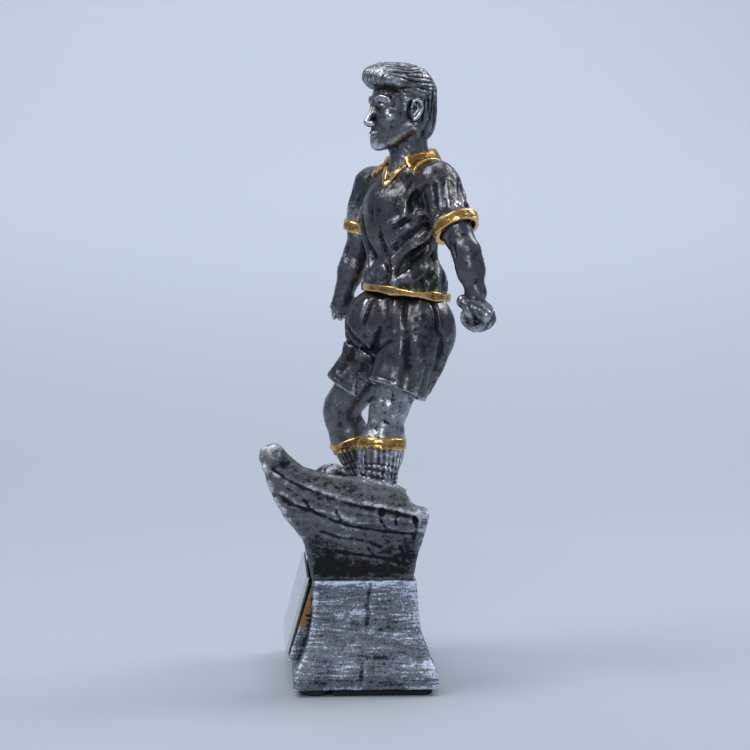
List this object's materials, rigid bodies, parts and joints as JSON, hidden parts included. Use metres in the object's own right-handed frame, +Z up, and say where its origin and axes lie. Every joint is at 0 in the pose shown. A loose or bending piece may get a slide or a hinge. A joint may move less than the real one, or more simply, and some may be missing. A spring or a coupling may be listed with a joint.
{
  "type": "figure trophy",
  "caption": "Cast resin sports trophy: a standing football player in shirt and shorts on a rock-like ledge over a flared masonry plinth with a blank nameplate",
  "frame": {"origin": "middle of the plinth's footprint, on the surface the trophy stands on", "axes": "+Z up, -Y the front with the nameplate, +X the player's left along the plinth's long side"},
  "size_m": [0.07, 0.0648, 0.1721],
  "materials": {
    "antique_silver_resin": "black resin dry-brushed with antique silver paint, semi-gloss",
    "gold_paint": "hand-painted antique gold, semi-gloss",
    "bright_plate": "thin brushed plate, blank",
    "adhesive": "double-sided adhesive sheet",
    "felt": "black pressed felt",
    "bumper_rubber": "black rubber",
    "steel": "zinc plated",
    "brass": "knurled insert"
  },
  "bodies": {
    "root": {"pedestal": "antique_silver_resin", "deck": "antique_silver_resin", "base_felt": "felt", "front_bumpers": "bumper_rubber", "nameplate": "bright_plate", "nameplate_tape": "adhesive", "clamp_screw": "steel", "washer": "steel", "threaded_insert": "brass", "torso": "antique_silver_resin", "shorts": "antique_silver_resin", "head": "antique_silver_resin", "left_arm": "antique_silver_resin", "right_arm": "antique_silver_resin", "left_leg": "antique_silver_resin", "right_leg": "antique_silver_resin", "left_boot": "antique_silver_resin", "right_boot": "antique_silver_resin", "foot_rods": "steel", "collar": "gold_paint", "left_cuff": "gold_paint", "right_cuff": "gold_paint", "belt": "gold_paint", "left_sock_band": "gold_paint", "right_sock_band": "gold_paint", "football": "antique_silver_resin", "ball_pin": "steel"}
  },
  "joints": []
}
